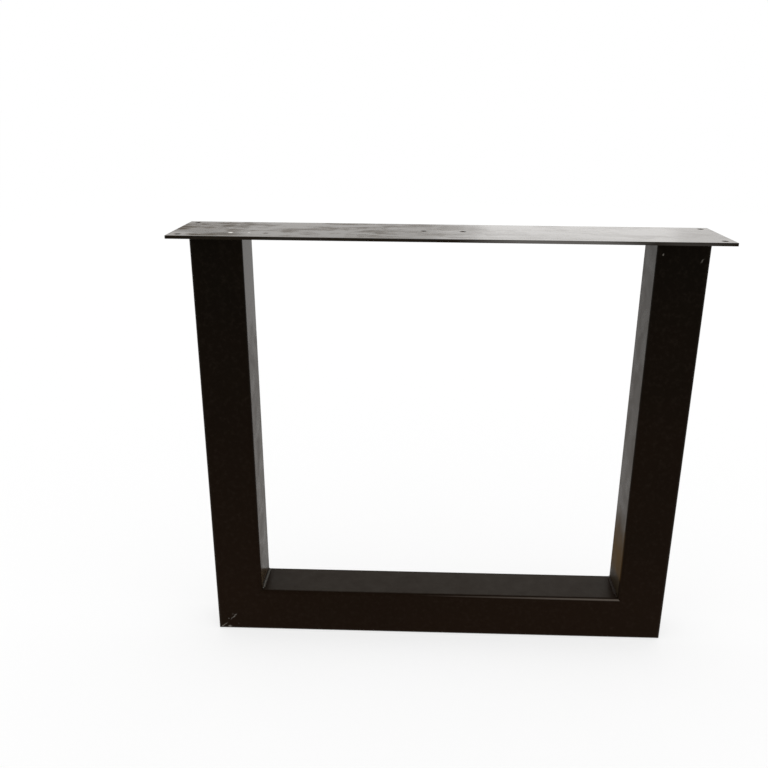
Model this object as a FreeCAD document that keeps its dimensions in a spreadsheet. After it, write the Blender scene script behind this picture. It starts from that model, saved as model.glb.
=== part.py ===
import FreeCAD, Part
import math
import os

import Sketcher
from FreeCAD import Placement, Rotation, Vector

# U shaped table leg: two uprights and a base rail of square steel tube, mitred
# and welded at the floor, under a flat plate that screws to the table top.
# Millimetres. X runs along the base rail, Y from front to back, Z up.
# The origin is on the floor, under the middle of the leg.

DIMENSIONS = [
    ("leg_width", 780, "outside of one upright to the outside of the other"),
    ("leg_height", 700, "floor to the top of the plate"),
    ("tube_width", 80, "side of the square tube"),
    ("tube_wall", 3, "wall of the tube"),
    ("bend_radius", 3, "inside radius of the tube's four corners"),
    ("plate_length", 830, "plate along the table's width"),
    ("plate_depth", 150, "plate from front to back"),
    ("plate_thickness", 5, "thickness of the plate"),
    ("plate_edge", 0.6, "rounding of the plate's edges"),
    ("hole_diameter", 7, "clearance hole for a table top screw"),
    ("hole_end_inset", 15, "corner hole to the plate's end"),
    ("hole_side_inset", 15, "corner hole to the plate's long side"),
    ("middle_pitch", 60, "distance between the two middle holes"),
    ("middle_shift", 7.5, "middle pair's distance to the left of the plate's centre"),
    ("corner_bead", 5, "leg of the fillet weld inside each lower corner"),
    ("plate_bead", 4, "leg of the fillet weld round each upright's top"),
]

UPRIGHT_CENTRE = "(Dimensions.leg_width - Dimensions.tube_width) / 2"
PLATE_UNDERSIDE = "Dimensions.leg_height - Dimensions.plate_thickness"
OUTER_RADIUS = "Dimensions.bend_radius + Dimensions.tube_wall"
TUBE_FLAT = f"Dimensions.tube_width - 2 * ({OUTER_RADIUS})"

QUARTER_TURN = 90
START = 1
END = 2
CENTRE = 3
ORIGIN = (-1, 1)

doc = FreeCAD.newDocument("UShapedTableLeg")


def make_sheet():
    """Put the driving dimensions in a sheet, one named cell each."""
    sheet = doc.addObject("Spreadsheet::Sheet", "Dimensions")
    for row, (alias, size, meaning) in enumerate(DIMENSIONS, start=1):
        sheet.set(f"A{row}", meaning)
        sheet.set(f"B{row}", str(size))
        sheet.setAlias(f"B{row}", alias)
    doc.recompute()
    return sheet


dimensions = make_sheet()


def formula_value(formula):
    """Current value of a formula of the sheet, to draw a sketch near its final shape."""
    return float(dimensions.evalExpression(formula))


def make_body(label, x="0", z="0", facing_left=False):
    """Start a sub-part; a part that faces left is the same part turned half round."""
    body = doc.addObject("PartDesign::Body", label)
    body.Label = label
    half_turn = 180 if facing_left else 0
    body.Placement = Placement(Vector(0, 0, 0), Rotation(Vector(0, 0, 1), half_turn))
    body.setExpression("Placement.Base.x", x)
    body.setExpression("Placement.Base.z", z)
    return body


def datum(body, role):
    """One of the sub-part's own main planes or axes."""
    return next(feature for feature in body.Origin.OriginFeatures if feature.Role == role)


def make_sketch(body, name, role):
    """Empty sketch on one of the sub-part's main planes."""
    sketch = body.newObject("Sketcher::SketchObject", name)
    sketch.AttachmentSupport = [(datum(body, role), "")]
    sketch.MapMode = "FlatFace"
    return sketch


def constrain(sketch, kind, *arguments):
    """Add one geometric constraint."""
    return sketch.addConstraint(Sketcher.Constraint(kind, *arguments))


def dimension(sketch, name, kind, arguments, formula):
    """Add one dimension whose value follows a formula of the sheet."""
    index = sketch.addConstraint(Sketcher.Constraint(kind, *arguments, formula_value(formula)))
    sketch.renameConstraint(index, name)
    sketch.setExpression(f"Constraints.{name}", formula)


def draw_rounded_square(sketch, name, side, radius):
    """Centred square with round corners, the outline of the tube outside or inside."""
    half = formula_value(side) / 2
    corner = formula_value(radius)
    flat = half - corner
    sides = []
    arcs = []
    for quarter in range(4):
        turn = Rotation(Vector(0, 0, 1), QUARTER_TURN * quarter)
        line = Part.LineSegment(turn * Vector(half, -flat, 0), turn * Vector(half, flat, 0))
        circle = Part.Circle(turn * Vector(flat, flat, 0), Vector(0, 0, 1), corner)
        begin = math.radians(QUARTER_TURN * quarter)
        sides.append(sketch.addGeometry(line, False))
        arcs.append(sketch.addGeometry(Part.ArcOfCircle(circle, begin, begin + math.pi / 2), False))
    for quarter in range(4):
        following = sides[(quarter + 1) % 4]
        constrain(sketch, "Tangent", sides[quarter], END, arcs[quarter], START)
        constrain(sketch, "Tangent", arcs[quarter], END, following, START)
        constrain(sketch, "Vertical" if quarter % 2 == 0 else "Horizontal", sides[quarter])
    for arc in arcs[1:]:
        constrain(sketch, "Equal", arcs[0], arc)
    constrain(sketch, "Symmetric", arcs[0], CENTRE, arcs[2], CENTRE, *ORIGIN)
    dimension(sketch, f"{name}_across", "DistanceX", (sides[2], START, sides[0], END), side)
    dimension(sketch, f"{name}_up", "DistanceY", (sides[3], START, sides[1], END), side)
    dimension(sketch, f"{name}_radius", "Radius", (arcs[0],), radius)


def draw_tube_section(sketch):
    """Both outlines of the square tube."""
    draw_rounded_square(sketch, "outside", "Dimensions.tube_width", OUTER_RADIUS)
    inside = "Dimensions.tube_width - 2 * Dimensions.tube_wall"
    draw_rounded_square(sketch, "inside", inside, "Dimensions.bend_radius")


def draw_mitre_cutter(sketch, tip_x, tip_y, below):
    """Right-angled triangle with its long side on the mitre, past the tube both ways.

    The tip is the mitre's outer lower corner, and the triangle lies below the mitre
    to cut an upright, or above it to cut the rail.
    """
    past = "Dimensions.tube_width / 2"
    reach = f"Dimensions.tube_width + 2 * {past}"
    run = formula_value(reach)
    low_x = formula_value(f"{tip_x} - {past}")
    low_y = formula_value(f"{tip_y} - {past}")
    low = Vector(low_x, low_y, 0)
    high = Vector(low_x + run, low_y + run, 0)
    square_corner = Vector(high.x, low.y, 0) if below else Vector(low.x, high.y, 0)
    first = sketch.addGeometry(Part.LineSegment(low, square_corner), False)
    second = sketch.addGeometry(Part.LineSegment(square_corner, high), False)
    mitre = sketch.addGeometry(Part.LineSegment(high, low), False)
    constrain(sketch, "Coincident", first, END, second, START)
    constrain(sketch, "Coincident", second, END, mitre, START)
    constrain(sketch, "Coincident", mitre, END, first, START)
    constrain(sketch, "Horizontal", first if below else second)
    constrain(sketch, "Vertical", second if below else first)
    constrain(sketch, "Equal", first, second)
    dimension(sketch, "reach", "Distance", (first,), reach)
    dimension(sketch, "tip_x", "DistanceX", (first, START, *ORIGIN), f"{past} - ({tip_x})")
    dimension(sketch, "tip_y", "DistanceY", (first, START, *ORIGIN), f"{past} - ({tip_y})")


def pad(body, sketch, name, length, symmetric=False):
    """Give a sketch its length."""
    feature = body.newObject("PartDesign::Pad", name)
    feature.Profile = sketch
    feature.SideType = "Symmetric" if symmetric else "One side"
    feature.setExpression("Length", length)
    doc.recompute()
    return feature


def cut_through(body, sketch, name):
    """Cut a sketch through the sub-part both ways, and make sure that it removed metal."""
    before = body.Shape.Volume
    feature = body.newObject("PartDesign::Pocket", name)
    feature.Profile = sketch
    feature.Type = "ThroughAll"
    feature.SideType = "Symmetric"
    doc.recompute()
    if not body.Shape.Volume < before:
        raise RuntimeError(f"{name} cut nothing from {body.Label}")
    return feature


def make_upright(label, side):
    """Upright tube: square at the plate, mitred at the floor, its long side outwards."""
    body = make_body(label, x=f"{side} * {UPRIGHT_CENTRE}", facing_left=side > 0)
    section = make_sketch(body, f"{label}_section", "XY_Plane")
    draw_tube_section(section)
    pad(body, section, f"{label}_length", PLATE_UNDERSIDE)
    mitre = make_sketch(body, f"{label}_mitre", "XZ_Plane")
    draw_mitre_cutter(mitre, "-Dimensions.tube_width / 2", "0", below=True)
    cut_through(body, mitre, f"{label}_mitre_cut")
    return body


def make_base_rail():
    """Base rail: the same tube lying on the floor, mitred at both ends."""
    label = "base_rail"
    body = make_body(label, z="Dimensions.tube_width / 2")
    section = make_sketch(body, f"{label}_section", "YZ_Plane")
    draw_tube_section(section)
    pad(body, section, f"{label}_length", "Dimensions.leg_width", symmetric=True)
    mitre = make_sketch(body, f"{label}_mitre", "XZ_Plane")
    draw_mitre_cutter(mitre, "-Dimensions.leg_width / 2", "-Dimensions.tube_width / 2", below=False)
    left_cut = cut_through(body, mitre, f"{label}_mitre_cut")
    before = body.Shape.Volume
    both_cuts = body.newObject("PartDesign::Mirrored", f"{label}_both_mitres")
    both_cuts.Originals = [left_cut]
    both_cuts.MirrorPlane = (datum(body, "YZ_Plane"), [""])
    body.Tip = both_cuts
    doc.recompute()
    if not body.Shape.Volume < before:
        raise RuntimeError("the second mitre cut nothing from the rail")
    return body


def draw_plate_outline(sketch):
    """Centred rectangle of the plate."""
    half_length = formula_value("Dimensions.plate_length / 2")
    half_depth = formula_value("Dimensions.plate_depth / 2")
    corners = [
        Vector(-half_length, -half_depth, 0),
        Vector(half_length, -half_depth, 0),
        Vector(half_length, half_depth, 0),
        Vector(-half_length, half_depth, 0),
    ]
    edges = []
    for start, end in zip(corners, corners[1:] + corners[:1]):
        edges.append(sketch.addGeometry(Part.LineSegment(start, end), False))
    for index, edge in enumerate(edges):
        constrain(sketch, "Coincident", edge, END, edges[(index + 1) % 4], START)
        constrain(sketch, "Horizontal" if index % 2 == 0 else "Vertical", edge)
    constrain(sketch, "Symmetric", edges[0], START, edges[2], START, *ORIGIN)
    front, right_end = edges[:2]
    dimension(sketch, "length", "DistanceX", (front, START, front, END), "Dimensions.plate_length")
    dimension(sketch, "depth", "DistanceY", (right_end, START, right_end, END), "Dimensions.plate_depth")


def draw_screw_holes(sketch):
    """One hole near each corner of the plate, and a pair on its centre line."""
    across = "Dimensions.plate_length / 2 - Dimensions.hole_end_inset"
    along = "Dimensions.plate_depth / 2 - Dimensions.hole_side_inset"
    half_pitch = "Dimensions.middle_pitch / 2"
    places = {
        "front_left": (f"-({across})", f"-({along})"),
        "front_right": (across, f"-({along})"),
        "back_right": (across, along),
        "back_left": (f"-({across})", along),
        "middle_left": (f"-{half_pitch} - Dimensions.middle_shift", None),
        "middle_right": (f"{half_pitch} - Dimensions.middle_shift", None),
    }
    radius = formula_value("Dimensions.hole_diameter / 2")
    holes = []
    for name, (x, y) in places.items():
        centre = Vector(formula_value(x), formula_value(y) if y else 0, 0)
        hole = sketch.addGeometry(Part.Circle(centre, Vector(0, 0, 1), radius), False)
        dimension(sketch, f"{name}_x", "DistanceX", (*ORIGIN, hole, CENTRE), x)
        if y:
            dimension(sketch, f"{name}_y", "DistanceY", (*ORIGIN, hole, CENTRE), y)
        else:
            constrain(sketch, "PointOnObject", hole, CENTRE, -1)
        holes.append(hole)
    for hole in holes[1:]:
        constrain(sketch, "Equal", holes[0], hole)
    dimension(sketch, "hole_diameter", "Diameter", (holes[0],), "Dimensions.hole_diameter")


def make_top_plate():
    """Flat plate that carries the table top, with rounded edges and its screw holes."""
    label = "top_plate"
    body = make_body(label, z=PLATE_UNDERSIDE)
    outline = make_sketch(body, f"{label}_outline", "XY_Plane")
    draw_plate_outline(outline)
    blank = pad(body, outline, f"{label}_blank", "Dimensions.plate_thickness")
    rounding = body.newObject("PartDesign::Fillet", f"{label}_edges")
    rounding.Base = (blank, [""])
    rounding.UseAllEdges = True
    rounding.setExpression("Radius", "Dimensions.plate_edge")
    body.Tip = rounding
    doc.recompute()
    holes = make_sketch(body, f"{label}_holes", "XY_Plane")
    draw_screw_holes(holes)
    cut_through(body, holes, f"{label}_screw_holes")
    return body


def draw_bead(sketch, root_x, leg, upwards):
    """Quarter-round section of a fillet weld, its square corner at the root."""
    root = formula_value(root_x)
    size = formula_value(leg)
    rise = size if upwards else -size
    begin = 0 if upwards else -math.pi / 2
    corner = Vector(root, 0, 0)
    circle = Part.Circle(corner, Vector(0, 0, 1), size)
    face = sketch.addGeometry(Part.ArcOfCircle(circle, begin, begin + math.pi / 2), False)
    flat = sketch.addGeometry(Part.LineSegment(corner, Vector(root + size, 0, 0)), False)
    upright = sketch.addGeometry(Part.LineSegment(corner, Vector(root, rise, 0)), False)
    constrain(sketch, "Coincident", flat, START, upright, START)
    constrain(sketch, "Coincident", face, CENTRE, flat, START)
    constrain(sketch, "Coincident", face, START if upwards else END, flat, END)
    constrain(sketch, "Coincident", face, END if upwards else START, upright, END)
    constrain(sketch, "Horizontal", flat)
    constrain(sketch, "Vertical", upright)
    constrain(sketch, "PointOnObject", flat, START, -1)
    dimension(sketch, "root_x", "DistanceX", (*ORIGIN, flat, START), root_x)
    dimension(sketch, "bead_leg", "Radius", (face,), leg)


def make_corner_weld(label, side):
    """Bead across the inside of a lower corner, along the flat of the two tubes."""
    inner_face = f"{side} * (Dimensions.leg_width / 2 - Dimensions.tube_width)"
    body = make_body(label, x=inner_face, z="Dimensions.tube_width", facing_left=side > 0)
    section = make_sketch(body, f"{label}_section", "XZ_Plane")
    draw_bead(section, "0", "Dimensions.corner_bead", upwards=True)
    pad(body, section, f"{label}_run", TUBE_FLAT, symmetric=True)
    return body


def draw_turning_axis(sketch, x, length):
    """Upright construction line that a section turns about."""
    foot = Vector(formula_value(x), 0, 0)
    top = Vector(foot.x, formula_value(length), 0)
    axis = sketch.addGeometry(Part.LineSegment(foot, top), True)
    constrain(sketch, "Vertical", axis)
    constrain(sketch, "PointOnObject", axis, START, -1)
    dimension(sketch, "axis_x", "DistanceX", (*ORIGIN, axis, START), x)
    dimension(sketch, "axis_length", "DistanceY", (axis, START, axis, END), length)


def make_plate_weld(label, side):
    """Bead all round an upright's top, in the angle under the plate.

    One straight run and one turn round a corner of the tube, repeated on its four sides.
    """
    body = make_body(label, x=f"{side} * {UPRIGHT_CENTRE}", z=PLATE_UNDERSIDE)
    run_section = make_sketch(body, f"{label}_run_section", "XZ_Plane")
    draw_bead(run_section, "Dimensions.tube_width / 2", "Dimensions.plate_bead", upwards=False)
    run = pad(body, run_section, f"{label}_run", TUBE_FLAT, symmetric=True)

    turn_section = make_sketch(body, f"{label}_turn_section", "XZ_Plane")
    turn_section.setExpression("AttachmentOffset.Base.z", f"-({TUBE_FLAT}) / 2")
    draw_bead(turn_section, "Dimensions.tube_width / 2", "Dimensions.plate_bead", upwards=False)
    draw_turning_axis(turn_section, f"({TUBE_FLAT}) / 2", "Dimensions.plate_bead")
    turn = body.newObject("PartDesign::Revolution", f"{label}_turn")
    turn.Profile = turn_section
    turn.ReferenceAxis = (turn_section, ["Axis0"])
    turn.Angle = QUARTER_TURN
    doc.recompute()

    around = body.newObject("PartDesign::PolarPattern", f"{label}_around")
    around.Originals = [run, turn]
    around.Axis = (datum(body, "Z_Axis"), [""])
    around.Angle = 4 * QUARTER_TURN
    around.Occurrences = 4
    body.Tip = around
    doc.recompute()
    return body


def check_document():
    """Stop if any object of the document failed to build."""
    for item in doc.Objects:
        if "Invalid" in item.State or "Error" in item.State:
            raise RuntimeError(f"{item.Name} failed: {item.State}")


def write_parts(bodies):
    """Check each sub-part's solid and write it under its own name."""
    for body in bodies:
        if body.Shape.isNull() or not body.Shape.isValid():
            raise RuntimeError(f"{body.Label} has no valid shape")
    os.makedirs("parts", exist_ok=True)
    for body in bodies:
        body.Shape.exportStep(f"parts/{body.Label}.step")
        box = body.Shape.optimalBoundingBox(False, False)
        print(f"{body.Label}: {len(body.Shape.Solids)} solid, {body.Shape.Volume:.0f} mm3,",
              f"x {box.XMin:.1f} to {box.XMax:.1f}, y {box.YMin:.1f} to {box.YMax:.1f},",
              f"z {box.ZMin:.1f} to {box.ZMax:.1f}")


LEFT = -1
RIGHT = 1

bodies = [make_base_rail(), make_top_plate()]
for name, side in (("left", LEFT), ("right", RIGHT)):
    bodies.append(make_upright(f"{name}_upright", side))
    bodies.append(make_corner_weld(f"{name}_corner_weld", side))
    bodies.append(make_plate_weld(f"{name}_plate_weld", side))
doc.recompute()
check_document()
write_parts(bodies)
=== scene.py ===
# %% [markdown]
# # A welded U shaped table leg
# The real leg is two uprights and a base rail of square steel tube, mitred and welded at the floor,
# with a drilled steel plate welded across the top and black enamel over all of it. Its exact solids
# come from the CAD frame, in metres, and stay as they are. This lesson adds what a solid lacks: the
# rippled skin of the weld beads, the finish of every face, and the light and view of the photograph.

# %% Load the leg
import math

import bpy
from mathutils import Matrix, Vector


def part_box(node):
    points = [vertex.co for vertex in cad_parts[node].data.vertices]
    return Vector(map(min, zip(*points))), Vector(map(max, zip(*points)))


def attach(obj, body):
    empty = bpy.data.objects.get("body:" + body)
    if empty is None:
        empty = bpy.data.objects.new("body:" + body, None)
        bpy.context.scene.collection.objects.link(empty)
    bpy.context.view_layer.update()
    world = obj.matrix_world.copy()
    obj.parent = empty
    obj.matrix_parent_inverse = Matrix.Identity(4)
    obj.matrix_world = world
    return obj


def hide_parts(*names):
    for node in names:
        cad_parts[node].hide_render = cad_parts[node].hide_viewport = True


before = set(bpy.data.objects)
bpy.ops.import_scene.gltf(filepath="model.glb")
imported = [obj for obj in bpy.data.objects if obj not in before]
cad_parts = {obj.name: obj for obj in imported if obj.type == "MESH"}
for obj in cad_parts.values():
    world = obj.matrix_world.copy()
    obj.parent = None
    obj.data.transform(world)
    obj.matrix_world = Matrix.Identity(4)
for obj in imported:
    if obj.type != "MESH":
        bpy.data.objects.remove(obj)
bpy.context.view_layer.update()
MM = 0.001
for name in sorted(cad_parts):
    low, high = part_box(name)
    print(name, "measures", [round(side / MM, 1) for side in high - low], "mm")

# %% [markdown]
# ## The camera
# The photograph was taken by someone standing in front of the leg, a little left of its middle, and
# looking down. The camera could be placed by eye, but then no edge lies where it should. Here its
# place, turn and focal length were found by measuring the leg's edges in the picture. A small shift
# moves the frame without turning the camera, because the picture was cropped off centre.

# %% Place the camera
PICTURE_PX = 768
FOCAL_PX = 840.8
CROP_CENTRE_PX = (402.7, 411.4)
SENSOR_MM = 36.0
CAMERA_PLACE = (-0.0323, -1.3014, 0.8911)
YAW = math.radians(1.53)
PITCH = math.radians(-20.47)
ROLL = math.radians(-0.53)

lens = bpy.data.cameras.new("photograph_lens")
lens.sensor_width = SENSOR_MM
lens.lens = FOCAL_PX / PICTURE_PX * SENSOR_MM
lens.shift_x = (PICTURE_PX / 2 - CROP_CENTRE_PX[0]) / PICTURE_PX
lens.shift_y = (CROP_CENTRE_PX[1] - PICTURE_PX / 2) / PICTURE_PX

camera = bpy.data.objects.new("photograph_camera", lens)
look_ahead = Matrix.Rotation(math.pi / 2, 4, "X")  # a new camera looks straight down
turn = Matrix.Rotation(YAW, 4, "Z") @ Matrix.Rotation(PITCH, 4, "X") @ Matrix.Rotation(ROLL, 4, "Y")
camera.matrix_world = Matrix.Translation(CAMERA_PLACE) @ turn @ look_ahead
scene = bpy.context.scene
scene.collection.objects.link(camera)
scene.camera = camera
scene.view_settings.view_transform = "Standard"
print("lens", round(lens.lens, 1), "mm, shift", round(lens.shift_x, 4), round(lens.shift_y, 4))

# %% [markdown]
# ## The studio
# The picture's background is plain white. Strong lamps on a backdrop would give that too, but they
# would spill light on the leg. An even sky at a strength of 1, which a screen shows as white, lights
# the leg softly from all sides and at a plain level.

# %% Light the sky
sky = bpy.data.worlds.new("white_studio")
sky.use_nodes = True
background = sky.node_tree.nodes["Background"]
background.inputs["Color"].default_value = (1.0, 1.0, 1.0, 1.0)
background.inputs["Strength"].default_value = 1.0
scene.world = sky
print("sky strength", background.inputs["Strength"].default_value)

# %% [markdown]
# The floor has to look white and still keep the leg's shadow. A floor that only the sky lights goes
# grey round the leg, and one that only glows keeps no shadow at all. This one does both, like a light
# table: most of its light comes from inside and the rest from the sky, so the shadow is soft and pale.

# %% Lay the floor
FLOOR_REACH = 40.0
FLOOR_DROP = 0.2 * MM  # keeps the floor from flickering through the rail's underside
GLOW = 0.7  # the share of the floor's light that comes from inside

floor_mesh = bpy.data.meshes.new("studio_floor")
floor_mesh.from_pydata(
    [(x * FLOOR_REACH, y * FLOOR_REACH, -FLOOR_DROP) for x, y in ((-1, -1), (1, -1), (1, 1), (-1, 1))],
    [], [(0, 1, 2, 3)])
floor = bpy.data.objects.new("studio_floor", floor_mesh)
scene.collection.objects.link(floor)
floor_finish = bpy.data.materials.new("matt_white_light_table")
floor_finish.use_nodes = True
floor_shader = floor_finish.node_tree.nodes["Principled BSDF"]
floor_shader.inputs["Base Color"].default_value = (1 - GLOW, 1 - GLOW, 1 - GLOW, 1.0)
floor_shader.inputs["Emission Color"].default_value = (1.0, 1.0, 1.0, 1.0)
floor_shader.inputs["Emission Strength"].default_value = GLOW
floor_shader.inputs["Roughness"].default_value = 1.0
floor_shader.inputs["Specular IOR Level"].default_value = 0.0
floor_mesh.materials.append(floor_finish)
print("floor", 2 * FLOOR_REACH, "m wide")

# %% [markdown]
# A black object shows the room that it mirrors. In the photograph the right half of the plate
# mirrors something bright far behind it, like a window, and the change is gradual. A small oval lamp
# inside a wider one gives that: the window and the glow that it throws round itself. The plate is seen
# so flat that it mirrors only what stands low behind it, and the lamps are so far away that they
# hardly light anything else.

# %% Hang the window light
def hang_lamp(name, place, aim, size, radiance):
    """An oval soft lamp; radiance is how bright its face looks, where the sky is 1."""
    light = bpy.data.lights.new(name, "AREA")
    light.shape = "ELLIPSE"
    light.size, light.size_y = size
    light.energy = radiance * math.pi * (math.pi / 4 * size[0] * size[1])
    lamp = bpy.data.objects.new(name, light)
    lamp.location = place
    lamp.rotation_euler = (Vector(aim) - Vector(place)).to_track_quat("-Z", "Y").to_euler()
    lamp.visible_camera = False
    scene.collection.objects.link(lamp)
    print(name, round(light.energy, 1), "W")


plate_low, plate_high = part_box("top_plate")
plate_middle = (0.0, 0.0, plate_high.z)
hang_lamp("window_glow", place=(1.42, 5.9, 1.9), aim=plate_middle, size=(2.9, 2.2), radiance=0.43)
hang_lamp("window_light", place=(1.2, 5.8, 1.9), aim=plate_middle, size=(1.7, 2.2), radiance=0.38)

# %% [markdown]
# ## Tools for the finishes
# Every finish is a small net of nodes. One helper takes a colour as painters and web pages write it,
# a hex code, and turns it into the linear light that the renderer adds up. The other helper adds one
# node, sets its options, and fills its inputs with numbers or with links from other nodes.

# %% Colour and node helpers
def hex_colour(code):
    """Linear red, green, blue and alpha of a code such as #1c1611, by the sRGB curve."""
    shares = [int(code[place:place + 2], 16) / 255 for place in (1, 3, 5)]
    linear = [s / 12.92 if s <= 0.04045 else ((s + 0.055) / 1.055) ** 2.4 for s in shares]
    return (*linear, 1.0)


def add_node(tree, kind, inputs=None, **settings):
    """Add one node; an input is a plain value, an output, or a node, for its first output."""
    node = tree.nodes.new(kind)
    for option, value in settings.items():
        setattr(node, option, value)
    for socket, value in (inputs or {}).items():
        if isinstance(value, bpy.types.Node):
            value = value.outputs[0]
        if isinstance(value, bpy.types.NodeSocket):
            tree.links.new(value, node.inputs[socket])
        else:
            node.inputs[socket].default_value = value
    return node


MIX_FACTOR, MIX_FROM, MIX_TO, MIXED = 0, 6, 7, 2  # a colour Mix node's sockets, by number
print("#808080 is", round(hex_colour("#808080")[0], 4), "in linear light")

# %% [markdown]
# ## Black enamel
# The whole leg was sprayed with one satin black enamel, so one function lays that coat and each
# finish adds its own dust and wear, and some add painted highlights and painted shade. A spray coat
# is never even: it is browner and lighter towards the floor, thinner in broad clouds, freckled by dust
# that fell on it while it was wet, duller and shinier where hands and cloths smudged it, and it dries
# with a dimpled skin called orange peel. A slope and four noises give them.

# %% Lay the enamel coat
CLOUD_MM = 140.0
SMUDGE_MM = 38.0
# Real freckles are under 1 mm and real orange peel is about 1.5 mm. Both are too fine for the
# picture, so they are drawn coarser.
FRECKLE_MM = 7.0
PEEL_MM = 5.0
NOISE_LOW = 0.3  # most of a noise lies between these two numbers
NOISE_HIGH = 0.7
TONE_AT_TOP = -0.25  # a tone of 0 is black and 1 is brown
TONE_AT_FLOOR = 0.75
CLOUD_SHARE = 0.5
FRECKLES = 0.15  # how much of its colour a full freckle shows
FRECKLE_FROM = 0.5  # a freckle starts where its noise is this high, and is full at FRECKLE_FULL
FRECKLE_FULL = 0.8
SHINY = 0.22  # satin enamel is typically 0.2 to 0.4 rough
DULL = 0.365


def lay_enamel(tree):
    """The bare coat: the place on the leg, and the coat's colour, roughness and orange peel there."""
    place = add_node(tree, "ShaderNodeTexCoord").outputs["Object"]
    height = add_node(tree, "ShaderNodeSeparateXYZ", {"Vector": place}).outputs["Z"]
    low_down = add_node(tree, "ShaderNodeMapRange", {
        "Value": height, "From Min": plate_high.z, "From Max": 0.0,
        "To Min": TONE_AT_TOP, "To Max": TONE_AT_FLOOR}, clamp=False)
    cloud = add_node(tree, "ShaderNodeTexNoise", {
        "Vector": place, "Scale": 1 / (CLOUD_MM * MM), "Detail": 3.0})
    tone = add_node(tree, "ShaderNodeMath", {
        0: cloud, 1: CLOUD_SHARE, 2: low_down}, operation="MULTIPLY_ADD", use_clamp=True)
    coat = add_node(tree, "ShaderNodeMix", {
        MIX_FACTOR: tone, MIX_FROM: hex_colour("#050403"), MIX_TO: hex_colour("#140b06")},
        data_type="RGBA")
    speckle = add_node(tree, "ShaderNodeTexNoise", {
        "Vector": place, "Scale": 1 / (FRECKLE_MM * MM), "Detail": 5.0, "Roughness": 0.75})
    freckles = add_node(tree, "ShaderNodeMapRange", {
        "Value": speckle, "From Min": FRECKLE_FROM, "From Max": FRECKLE_FULL, "To Max": FRECKLES})
    colour = add_node(tree, "ShaderNodeMix", {
        MIX_FACTOR: freckles, MIX_FROM: coat.outputs[MIXED], MIX_TO: hex_colour("#3a322b")},
        data_type="RGBA")
    smudge = add_node(tree, "ShaderNodeTexNoise", {
        "Vector": place, "Scale": 1 / (SMUDGE_MM * MM), "Detail": 4.0, "Distortion": 0.6})
    rough = add_node(tree, "ShaderNodeMapRange", {
        "Value": smudge, "From Min": NOISE_LOW, "From Max": NOISE_HIGH,
        "To Min": SHINY, "To Max": DULL})
    peel = add_node(tree, "ShaderNodeTexNoise", {
        "Vector": place, "Scale": 1 / (PEEL_MM * MM), "Detail": 2.0})
    return place, colour.outputs[MIXED], rough, peel


print("clouds", CLOUD_MM, "mm, smudges", SMUDGE_MM, "mm")
print("freckles", FRECKLE_MM, "mm, peel", PEEL_MM, "mm")

# %% [markdown]
# Enamel bends light as most dried paints do, with an IOR of 1.5 and a usual specular level of 0.5. In
# an all white studio that would veil the black with grey, so each finish lowers the level until its
# face to the camera is as dark as in the photograph. It then mirrors little from the front and still
# mirrors much at a flat angle, as dull enamel does. A warm tint keeps that faint veil brownish. Fine
# dust also scatters light towards an eye that looks along the face, and a little warm sheen gives that.

# %% Start a finish
ENAMEL_IOR = 1.5
SHEEN_ROUGH = 0.4


def new_finish(name, specular_level, sheen):
    """A new enamel material, its node tree and its shader."""
    finish = bpy.data.materials.new(name)
    finish.use_nodes = True
    shader = finish.node_tree.nodes["Principled BSDF"]
    shader.inputs["IOR"].default_value = ENAMEL_IOR
    shader.inputs["Specular IOR Level"].default_value = specular_level
    shader.inputs["Specular Tint"].default_value = hex_colour("#ffe0bf")
    shader.inputs["Sheen Weight"].default_value = sheen
    shader.inputs["Sheen Roughness"].default_value = SHEEN_ROUGH
    shader.inputs["Sheen Tint"].default_value = hex_colour("#d9b98c")
    return finish, finish.node_tree, shader


print("enamel has an IOR of", ENAMEL_IOR)

# %% [markdown]
# Marks such as scuffs and chips sit at known places. They could be painted on an unwrapped mesh, but
# soft ovals round a point need no unwrapping. A Mapping node moves, turns and shrinks the coordinates
# until the oval is a ball of radius 1, and the distance to its middle then says how deep inside the
# mark a point lies. A mark is its centre and half sizes in mm, its turn in degrees and its strength.
# A noise that pushes the coordinates about first makes the ovals look broken and not drawn.

# %% A mask of marks
CORE = 0.4  # the share of a mark's radius that is fully marked


def mark_mask(tree, place, marks, core=CORE):
    """How strongly the marks cover a place, fading to 0 at their outlines."""
    mask = 0.0
    for centre, half_sizes, turn, strength in marks:
        local = add_node(tree, "ShaderNodeMapping", {
            "Vector": place, "Location": Vector(centre) * MM,
            "Rotation": (0.0, -math.radians(turn), 0.0),
            "Scale": Vector(half_sizes) * MM}, vector_type="TEXTURE")
        depth = add_node(tree, "ShaderNodeVectorMath", {0: local}, operation="LENGTH")
        mark = add_node(tree, "ShaderNodeMapRange", {
            "Value": depth.outputs["Value"], "From Min": 1.0, "From Max": core, "To Max": strength})
        mask = add_node(tree, "ShaderNodeMath", {0: mask, 1: mark}, operation="MAXIMUM")
    return mask


def ragged(tree, place, grain_mm, push_mm):
    """The place, pushed about by a noise of that grain."""
    noise = add_node(tree, "ShaderNodeTexNoise", {
        "Vector": place, "Scale": 1 / (grain_mm * MM), "Detail": 3.0})
    centred = add_node(tree, "ShaderNodeVectorMath", {
        0: noise.outputs["Color"], 1: (0.5, 0.5, 0.5)}, operation="SUBTRACT")
    push = push_mm * MM
    return add_node(tree, "ShaderNodeVectorMath", {
        0: centred, 1: (push, push, push), 2: place}, operation="MULTIPLY_ADD")


print("a mark is full out to", CORE, "of its radius")
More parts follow.
